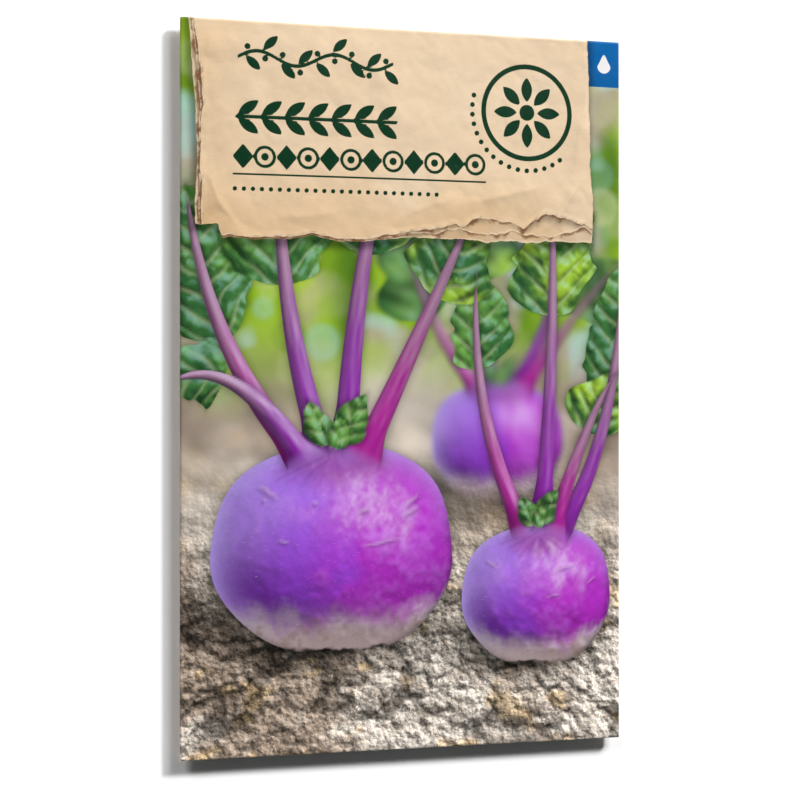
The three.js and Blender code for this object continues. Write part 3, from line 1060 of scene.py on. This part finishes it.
def finishPaper(tree, shader, colour, wornAway, roughness):
    # the white core shows on cut edges, on the inside and where the folds are rubbed; then the grain
    printed = ramp(tree, valueOf(tree, "printed"), 0.5, 1.0)
    bare = calc(tree, "SUBTRACT", 1.0, printed, clamp=True)
    bare = calc(tree, "MAXIMUM", bare, wornAway)
    colour = blend(tree, bare, colour, colourOf(paper["core"]))
    grain = placed(tree, paperGrain, Size=1.0)
    shader.inputs["Specular IOR Level"].default_value = paper["gloss"]
    fleck = calc(tree, "MULTIPLY_ADD", grain.outputs["Fleck"], 0.05, 0.975)
    tree.links.new(tinted(tree, colour, fleck), shader.inputs["Base Color"])
    rough = calc(tree, "MULTIPLY_ADD", grain.outputs["Fleck"], 0.08, roughness)
    rough = calc(tree, "MULTIPLY_ADD", bare, 0.35, rough)
    tree.links.new(rough, shader.inputs["Roughness"])
    relief = {"Strength": paper["bump"], "Distance": paper["bumpHeight"], "Height": grain.outputs["Height"]}
    tree.links.new(put(tree, "ShaderNodeBump", relief).outputs["Normal"], shader.inputs["Normal"])


def skinDetail(tree, place, colour):
    # fine mottling of a vegetable's skin, with short pale dashes across it
    tone = calc(tree, "MULTIPLY_ADD", noise(tree, place, 1.5, 5, 0.65), 0.30, 0.85)
    colour = tinted(tree, colour, tone)
    dashes = ramp(tree, noise(tree, stretched(tree, place, (1.1, 3.4, 1.0)), 1.0, 2, 0.5), 0.68, 0.76)
    return blend(tree, calc(tree, "MULTIPLY", dashes, 0.16), colour, colourOf(skin["gleam"]))


def makeFrontPaper():
    material, tree, shader = newMaterial("frontPaper")
    place = millimetres(tree)
    axes = put(tree, "ShaderNodeSeparateXYZ", {0: place}).outputs

    # the picture: soil with crisp grit, then leaves, bulbs with a fine skin, and stalks
    rear = attribute(tree, "rearPicture")
    grit = placed(tree, soilGrit, Size=1.0).outputs["Light"]
    gritty = tinted(tree, rear.outputs["Color"], grit)
    colour = blend(tree, rear.outputs["Alpha"], rear.outputs["Color"], gritty)
    for name in ("leaves", "bulbs", "stalks"):
        layer = attribute(tree, name)
        over = maskOf(tree, layer.outputs["Alpha"], 0.12)
        layerColour = layer.outputs["Color"]
        if name == "bulbs":
            layerColour = skinDetail(tree, place, layerColour)
        colour = blend(tree, over, colour, layerColour)

    # the blue tab with its mark, which the label shades
    kraft = attribute(tree, "label")
    tabLight = ramp(tree, axes[1], tab["bottom"] - 4, halfHeight)
    tabColour = blend(tree, tabLight, colourOf(paper["blue"]), colourOf(paper["blueLight"]))
    onMark = maskOf(tree, valueOf(tree, "tabMark"), 0.08)
    tabColour = blend(tree, onMark, tabColour, colourOf(paper["white"]))
    shade = calc(tree, "MULTIPLY_ADD", ramp(tree, kraft.outputs["Alpha"], -2.2, 0.3), -0.6, 1.0)
    tabColour = tinted(tree, tabColour, shade)
    colour = blend(tree, maskOf(tree, valueOf(tree, "tab"), 0.06), colour, tabColour)

    # the label: fibrous kraft in three plies, each paler along its tear; the upper two throw a dark
    # painted shadow below their edge
    kraftColour = placed(tree, kraftFibre, Color=kraft.outputs["Color"]).outputs["Color"]
    wander = calc(tree, "SUBTRACT", noise(tree, place, 0.8, 5, 0.7), 0.5)
    plies = [
        (kraft.outputs["Alpha"], 0.82, 0.35),
        (valueOf(tree, "middlePly"), 0.93, 0.8),
        (valueOf(tree, "upperPly"), 1.0, 0.9),
    ]
    onLabel = None
    for number, (distance, tone, depth) in enumerate(plies):
        inside = calc(tree, "MULTIPLY_ADD", wander, 0.45, distance)
        onPly = ramp(tree, inside, -0.06, 0.06)
        plyColour = blend(tree, 1.0, kraftColour, (tone, tone, tone, 1), "MULTIPLY")
        rimWidth = calc(tree, "MULTIPLY_ADD", noise(tree, place, 0.35 + 0.1 * number, 4, 0.6), 1.5, -0.45)
        rim = ramp(tree, calc(tree, "SUBTRACT", rimWidth, inside), -0.1, 0.1)
        plyColour = blend(tree, calc(tree, "MULTIPLY", rim, 0.55), plyColour, colourOf(label["tearPale"]))
        if onLabel:
            # a painted shadow just below the ply's edge, of uneven reach; depth sets how dark it is
            reach = calc(tree, "MULTIPLY_ADD", noise(tree, place, 0.16 + 0.1 * number, 3, 0.6), 4.4, -1.75)
            plyShadow = ramp(tree, calc(tree, "ADD", inside, calc(tree, "MAXIMUM", reach, 0.02)), -0.25, 0.55)
            plyShadow = calc(tree, "MULTIPLY", calc(tree, "MULTIPLY", plyShadow, depth), onLabel)
            colour = blend(tree, plyShadow, colour, colourOf(label["plyShadow"]))
            onPly = calc(tree, "MULTIPLY", onPly, onLabel)
        else:
            onLabel = onPly
        colour = blend(tree, onPly, colour, plyColour)

    # its ornaments and the rule, in green ink that is thinner and paler in places
    shapes = maskOf(tree, valueOf(tree, "ornaments"), 0.07, 0.08, 2.0)
    rule = ornaments["rule"]
    offLine = calc(tree, "ABSOLUTE", calc(tree, "SUBTRACT", axes[1], rule["y"]))
    middle, half = (rule["left"] + rule["right"]) / 2, (rule["right"] - rule["left"]) / 2
    offEnds = calc(tree, "ABSOLUTE", calc(tree, "SUBTRACT", axes[0], middle))
    halfStroke, soft = rule["stroke"] / 2, rule["soft"]
    onLine = ramp(tree, offLine, halfStroke + soft, halfStroke - soft)
    onRule = calc(tree, "MULTIPLY", onLine, ramp(tree, offEnds, half + soft, half - soft))
    inked = calc(tree, "MAXIMUM", shapes, onRule)
    thin = calc(tree, "MULTIPLY", ramp(tree, noise(tree, place, 1.8, 5, 0.75), 0.60, 0.74), 0.7)
    greenInk = blend(tree, thin, colourOf(paper["green"]), colourOf(paper["greenThin"]))
    colour = blend(tree, inked, colour, greenInk)

    wear = placed(tree, foldWear, Reach=0.11).outputs["Wear"]
    rougher = paper["labelRoughness"] - paper["roughness"]
    roughness = calc(tree, "MULTIPLY_ADD", onLabel, rougher, paper["roughness"])
    finishPaper(tree, shader, colour, wear, roughness)
    return material


front = {
    "pitch": 0.39,
    "stride": 3,
    "labelShade": 0.62,
    "shadeOffset": (0.5, 0.9),  # from a place on the picture to the part of the label that shades it
    "shadeReach": (-1.7, 0.4),
}


def makeFrontPanel():
    radius, pitch, stride = packet["foldRadius"], front["pitch"], front["stride"]
    columns = trimmed(stations(-halfWidth, halfWidth, pitch, radius, radius), stride)
    rows = trimmed(stations(-halfHeight, halfHeight, pitch, radius, radius), stride)
    x, y = np.meshgrid(columns, rows)
    points = np.stack([x, y, frontHeight(x, y)], -1)
    piece = onPacket(paperSheet("frontPanel", points, 1, stride))
    print("front panel:", len(piece.data.vertices), "vertices")

    whole, middlePly, upperPly = labelEdges(x, y)
    shadeX, shadeY = front["shadeOffset"]
    inLabel = labelEdges(x + shadeX, y + shadeY)[0]
    shadow = (1 - front["labelShade"] * ease(inLabel, *front["shadeReach"]))[..., None]
    near = paintTurnips(x, y, ("right", "left"))
    grit = ease(y, -8, -42)[..., None]
    givePrint(piece, "rearPicture", np.concatenate([rearPicture(x, y, near) * shadow, grit], -1), stride)
    for name, layer in near.items():
        edge = layer["edge"][..., None]
        givePrint(piece, name, np.concatenate([layer["colour"] * shadow, edge], -1), stride)
    # the label's kraft, which carries its painted shading, highlight and shadow
    givePrint(piece, "label", np.concatenate([labelColour(x, y), whole[..., None]], -1), stride)
    givePrint(piece, "middlePly", middlePly, stride)
    givePrint(piece, "upperPly", upperPly, stride)
    givePrint(piece, "ornaments", ornamentEdge(x, y), stride)
    givePrint(piece, "tab", tabEdge(x, y), stride)
    givePrint(piece, "tabMark", tabMark(x, y), stride)
    piece.data.materials.append(makeFrontPaper())
    print("front panel painted")


# The back: two panels glued in a seam, and two flaps

back = {
    "seamEdge": -8.0,  # free edge of the right panel, outside
    "innerEdge": 4.0,  # free edge of the left panel, inside
    "seamEase": 7.0,
    "lift": 0.14,
    "pitch": 0.45,
    "stride": 3,
    "endGap": 0.05,  # from the panels' ends to the end folds
    "bottomFlap": 15.0,
    "topFlap": 18.0,
    "sideGap": 2.5,
    "taper": 5.0,
    "corner": 3.0,
    "flapColumns": 181,
    "bar": ink(110, 152, 70),
    "flap": ink(24, 82, 54),
    "flapLeaf": ink(84, 138, 96),
}
# a chart of twelve columns and two rows with three bars, and four round marks under it
chart = {"columns": 12, "pitch": 6.0, "middle": 24.0, "halfHeight": 4.0, "stroke": 0.22, "barHalf": 1.5}
chartBars = [(-24, -6, 26), (6, 30, 26), (-12, 12, 22)]
roundMarks = {"count": 4, "pitch": 18.0, "y": 4.0, "radius": 5.2, "stroke": 0.7, "petals": 5, "petalAt": 2.1}


def panelHeight(x, y, lift):
    # the back's own shape, brought up to the fold line by a quarter circle along its rim
    lower = backHeight(x, y) + lift
    turn = quarterRound(halfWidth - np.abs(x), packet["foldRadius"])
    turn = turn * quarterRound(halfHeight - np.abs(y), packet["foldRadius"])
    return packet["foldHeight"] - (packet["foldHeight"] - lower) * turn


def makeBackPanels():
    radius = packet["foldRadius"]
    stride = back["stride"]
    end = halfHeight - back["endGap"]
    rows = trimmed(stations(-end, end, back["pitch"], radius, radius), stride)
    for name in ("backLeft", "backRight"):
        if name == "backLeft":
            columns = stations(-halfWidth, back["innerEdge"], back["pitch"], radius, 0)
        else:
            columns = stations(back["seamEdge"], halfWidth, back["pitch"], 0, radius)
        x, y = np.meshgrid(trimmed(columns, stride), rows)
        inward = ease(x, back["seamEdge"] - back["seamEase"], back["seamEdge"])
        lift = back["lift"] * inward if name == "backLeft" else 0
        points = np.stack([x, y, panelHeight(x, y, lift)], -1)
        piece = onPacket(paperSheet(name, points, -1, stride))
        # the kraft colour with its painted crumple shading, and how far inside the inked marks a place is
        kraft = np.concatenate([backColour(x, y), backOrnaments(x, y)[..., None]], -1)
        givePrint(piece, "kraft", kraft, stride)
        givePrint(piece, "bars", backBars(x, y), stride)
        piece.data.materials.append(backPaper)
    print("back panels made")


def backColour(x, y):
    # the same kraft as the label's, with painted shading of a low relief of crumples, lit from the upper
    # right
    colour = mixed(label["kraft"], label["kraftDeep"], 0.8 * ease(layeredNoise(x, y, 24, 301), 0.3, 0.8))
    height = 0.9 * np.abs(layeredNoise(x - 0.4 * y, y, 14, 311, 3) - 0.5)
    right, up = slopeOf(height, x, y)
    return colour * (0.15 + 0.85 * lightOn(-right, -up) / lightOn(0.0, 0.0))[..., None]


def backOrnaments(x, y):
    # how far inside the green ink of the chart's lines and of the marks a place is
    shapes = [np.full(x.shape, nowhere)]
    reach = chart["columns"] / 2 * chart["pitch"]
    fromMiddle = y - chart["middle"]
    for number in range(chart["columns"] + 1):
        offLine = np.abs(x + reach - number * chart["pitch"])
        shapes.append(np.minimum(chart["stroke"] - offLine, chart["halfHeight"] - np.abs(fromMiddle)))
    for side in (-1, 0, 1):
        offLine = np.abs(fromMiddle - side * chart["halfHeight"])
        shapes.append(np.minimum(chart["stroke"] - offLine, reach + chart["stroke"] - np.abs(x)))
    atY = roundMarks["y"]
    for number in range(roundMarks["count"]):
        atX = (number - (roundMarks["count"] - 1) / 2) * roundMarks["pitch"]
        shapes.append(ring(x, y, atX, atY, roundMarks["radius"], roundMarks["stroke"]))
        shapes += petalsRound(x, y, atX, atY, roundMarks["petals"] + number, roundMarks["petalAt"], 1.7, 0.7)
    return np.maximum.reduce(shapes)


def backBars(x, y):
    shapes = [np.full(x.shape, nowhere)]
    for low, high, atY in chartBars:
        shapes.append(np.minimum(np.minimum(x - low, high - x), chart["barHalf"] - np.abs(y - atY)))
    return np.maximum.reduce(shapes)


def makeBackPaper():
    material, tree, shader = newMaterial("backPaper")
    kraft = attribute(tree, "kraft")
    # the kraft attribute carries painted shading of crumples
    colour = placed(tree, kraftFibre, Color=kraft.outputs["Color"], Specks=0.3).outputs["Color"]
    colour = blend(tree, maskOf(tree, valueOf(tree, "bars"), 0.08, 0.05), colour, colourOf(back["bar"]))
    colour = blend(tree, maskOf(tree, kraft.outputs["Alpha"], 0.08, 0.06), colour, colourOf(paper["green"]))
    finishPaper(tree, shader, colour, placed(tree, foldWear, Reach=0.17).outputs["Wear"], paper["roughness"])
    return material


def makeFlapPaper():
    material, tree, shader = newMaterial("flapPaper")
    patch = ramp(tree, noise(tree, millimetres(tree), 0.2, 4, 0.6), 0.3, 0.7)
    colour = blend(tree, patch, colourOf(back["flap"]), colourOf(back["flap"] * 1.25))
    onLeaf = maskOf(tree, valueOf(tree, "leaves"), 0.08, 0.06)
    colour = blend(tree, onLeaf, colour, colourOf(back["flapLeaf"]))
    finishPaper(tree, shader, colour, placed(tree, foldWear, Reach=0.22).outputs["Wear"], paper["roughness"])
    return material


flapRow = {"stemAt": 0.55, "stemHalf": 0.2, "reach": 34, "pairs": 7, "pitch": 4.6}


def flapLeaves(x, distance, depth):
    # a row of leaf pairs on a thin stem across the flap
    stemAt = flapRow["stemAt"] * depth
    shapes = [np.minimum(flapRow["stemHalf"] - np.abs(distance - stemAt), flapRow["reach"] - np.abs(x))]
    for number in range(-flapRow["pairs"], flapRow["pairs"] + 1):
        for side in (-1, 1):
            leafX, leafY = flapRow["pitch"] * number, stemAt + side * 1.3
            shapes.append(lens(x, distance, leafX, leafY, side * 0.7, 1.8, 0.6))
    return np.maximum.reduce(shapes)


def makeFlap(name, end, depth):
    # folded round the end of the front panel; its sides taper, and its free corners are round
    radius = packet["foldRadius"]
    distance = np.concatenate([
        stations(0, depth - back["corner"], back["pitch"], radius, 0)[:-1],
        depth - back["corner"] * (1 - np.sin(np.radians(np.linspace(0, 90, 13)))),
    ])
    share, distance = np.meshgrid(np.linspace(-1, 1, back["flapColumns"]), distance)
    corner = back["corner"] * (1 - quarterRound(depth - distance, back["corner"]))
    half = halfWidth - back["sideGap"] - back["taper"] * distance / depth - corner
    x, y = share * half, end * (halfHeight - distance)
    lower = backHeight(x, y) - back["lift"]
    z = packet["foldHeight"] - (packet["foldHeight"] - lower) * quarterRound(distance, radius)
    piece = onPacket(paperSheet(name, np.stack([x, y, z], -1), -1))
    givePrint(piece, "leaves", flapLeaves(x, distance, depth), 1)
    piece.data.materials.append(flapPaper)
    print(name, "made")


# The seeds, in the places that the solid seeds have

seedRule = {
    "count": 96,
    "diameter": 2.0,
    "pitch": 1.7,
    "gap": 0.05,
    "height": 2.0,  # of the seeds' centres
    "centre": (3.0, -28.0),
    "radii": (24.0, 8.5),
    # the linear congruential rule that the places are drawn with
    "start": 7,
    "factor": 1664525,
    "addend": 1013904223,
    # facets of one seed, round it and between its poles
    "columns": 14,
    "rows": 7,
    "dents": 0.05,
}


def seedPlaces():
    # each seed lies against an earlier one, in a random direction, and is clear of all the others
    state = seedRule["start"]

    def draw():
        nonlocal state
        state = (state * seedRule["factor"] + seedRule["addend"]) % 2**32
        return state / 2**32

    places = [np.array(seedRule["centre"])]
    while len(places) < seedRule["count"]:
        neighbour = int(draw() * len(places))
        angle = draw() * 2 * math.pi
        place = places[neighbour] + seedRule["pitch"] * np.array([math.cos(angle), math.sin(angle)])
        inDrift = np.hypot(*((place - seedRule["centre"]) / seedRule["radii"])) < 1
        away = np.linalg.norm(np.array(places) - place, axis=1)
        away[neighbour] = np.inf
        if inDrift and away.min() > seedRule["diameter"] + seedRule["gap"]:
            places.append(place)
    return places


def makeSeeds():
    # round seeds with shallow dents: a ball's radius times one plus small waves over its surface
    columns, rows = seedRule["columns"], seedRule["rows"]
    aroundSeed = np.linspace(0, 2 * np.pi, columns + 1)[:-1]
    longitude, latitude = np.meshgrid(aroundSeed, np.linspace(-np.pi / 2, np.pi / 2, rows + 2)[1:-1])
    ballX, ballY = np.cos(longitude) * np.cos(latitude), np.sin(longitude) * np.cos(latitude)
    ball = np.stack([ballX, ballY, np.sin(latitude)], -1).reshape(-1, 3)
    ball = np.concatenate([ball, [[0, 0, -1], [0, 0, 1]]])
    index = np.arange(rows * columns).reshape(rows, columns)
    side = np.roll(index, -1, axis=1)
    quads = np.stack([index[:-1], side[:-1], side[1:], index[1:]], -1).reshape(-1, 4).tolist()
    low, high = rows * columns, rows * columns + 1
    caps = [[low, b, a] for a, b in zip(index[0].tolist(), side[0].tolist())]
    caps += [[high, a, b] for a, b in zip(index[-1].tolist(), side[-1].tolist())]
    corners, faces = [], []
    draw = np.random.default_rng(5)
    for number, place in enumerate(seedPlaces()):
        wave = 1 + seedRule["dents"] * np.sin(3 * ball[:, 0] + 5 * ball[:, 1] + draw.uniform(0, 6))
        stretch = draw.uniform(0.92, 1.04, 3)
        centre = np.array([place[0], place[1], seedRule["height"]])
        corners.append(centre + ball * stretch * 0.5 * seedRule["pitch"] * wave[:, None])
        faces += [[corner + number * len(ball) for corner in face] for face in quads + caps]
    mesh = bpy.data.meshes.new("seedDrift")
    mesh.from_pydata(np.concatenate(corners) / 1000, [], faces)
    mesh.shade_smooth()
    piece = bpy.data.objects.new("seedDrift", mesh)
    bpy.context.collection.objects.link(piece)
    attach(piece, "root")
    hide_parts("seeds")

    material, tree, shader = newMaterial("seedCoat")
    place = millimetres(tree)
    tone = ramp(tree, noise(tree, place, 0.9, 4, 0.6), 0.3, 0.7)
    colour = blend(tree, tone, colourOf(ink(66, 42, 30)), colourOf(ink(112, 80, 60)))
    net = put(tree, "ShaderNodeTexVoronoi", {"Vector": place, "Scale": 6.0}).outputs["Distance"]
    tree.links.new(colour, shader.inputs["Base Color"])
    tree.links.new(calc(tree, "MULTIPLY_ADD", net, 0.2, 0.5), shader.inputs["Roughness"])
    bump = put(tree, "ShaderNodeBump", {"Strength": 0.4, "Distance": 0.00005, "Height": net})
    tree.links.new(bump.outputs["Normal"], shader.inputs["Normal"])
    mesh.materials.append(material)
    print("seeds made")


makeFrontPanel()
backPaper = makeBackPaper()
flapPaper = makeFlapPaper()
makeBackPanels()
makeFlap("bottomFlap", -1, back["bottomFlap"])
makeFlap("topFlap", 1, back["topFlap"])
makeSeeds()

# The studio: a white floor, two soft lights from the upper right, a weaker one from the upper left,
# and a faint one from the foot's side that lifts the shadow below the packet

studio = {
    "floorSize": 6.0,
    "floorWhite": 0.93,
    "floorRoughness": 0.9,
    "ambient": 0.045,  # light from all sides, on what lies in the scene
    "backdrop": 1.1,  # the white behind it, as the camera sees it
}
# share of the light on the floor, then in degrees: round from +X towards +Y, up from the floor, size
lamps = {
    "keyLight": (0.57, 46, 28.2, 9),
    "softLight": (0.38, 61, 30.5, 24),
    "fillLight": (0.225, 128, 28, 22),
    "footLight": (0.025, -90, 30, 30),
}


def makeFloor():
    half = studio["floorSize"] / 2
    mesh = bpy.data.meshes.new("floor")
    corners = [(-half, -half, 0), (half, -half, 0), (half, half, 0), (-half, half, 0)]
    mesh.from_pydata(corners, [], [(0, 1, 2, 3)])
    floor = bpy.data.objects.new("floor", mesh)
    bpy.context.collection.objects.link(floor)
    material, tree, shader = newMaterial("floorWhite")
    shader.inputs["Base Color"].default_value = (studio["floorWhite"],) * 3 + (1,)
    shader.inputs["Roughness"].default_value = studio["floorRoughness"]
    shader.inputs["Specular IOR Level"].default_value = 0.0
    mesh.materials.append(material)


def makeLamp(name):
    share, around, up, size = lamps[name]
    lamp = bpy.data.lights.new(name, "SUN")
    lamp.energy = share * math.pi / math.sin(math.radians(up))
    lamp.angle = math.radians(size)
    sun = bpy.data.objects.new(name, lamp)
    sun.rotation_euler = (0, math.radians(90 - up), math.radians(around))
    bpy.context.collection.objects.link(sun)


def makeWorld():
    world = bpy.data.worlds.new("studio")
    world.use_nodes = True
    tree = world.node_tree
    tree.nodes.clear()
    seen = put(tree, "ShaderNodeBackground", {"Color": (1, 1, 1, 1), "Strength": studio["backdrop"]})
    dim = put(tree, "ShaderNodeBackground", {"Color": (1, 1, 1, 1), "Strength": studio["ambient"]})
    toCamera = put(tree, "ShaderNodeLightPath").outputs["Is Camera Ray"]
    either = put(tree, "ShaderNodeMixShader", {0: toCamera, 1: dim.outputs[0], 2: seen.outputs[0]})
    put(tree, "ShaderNodeOutputWorld", {0: either.outputs[0]})
    bpy.context.scene.world = world


makeFloor()
for lampName in lamps:
    makeLamp(lampName)
makeWorld()

# The camera, left of the packet and turned towards it, as in the photograph: focal length and sensor
# in millimetres, place in metres, pitch and yaw in degrees
view = {
    "lens": 86.88,
    "place": (-0.1125, -0.0028, 0.3638),
    "pitch": 0.1041,
    "yaw": -17.0763,
    "sensorWidth": 36,
    "clipStart": 0.01,
}
cameraData = bpy.data.cameras.new("photoCamera")
cameraData.lens = view["lens"]
cameraData.sensor_width = view["sensorWidth"]
cameraData.clip_start = view["clipStart"]
camera = bpy.data.objects.new("photoCamera", cameraData)
camera.location = view["place"]
camera.rotation_euler = (math.radians(view["pitch"]), math.radians(view["yaw"]), 0)
bpy.context.collection.objects.link(camera)
bpy.context.scene.camera = camera
bpy.context.scene.view_settings.view_transform = "Standard"
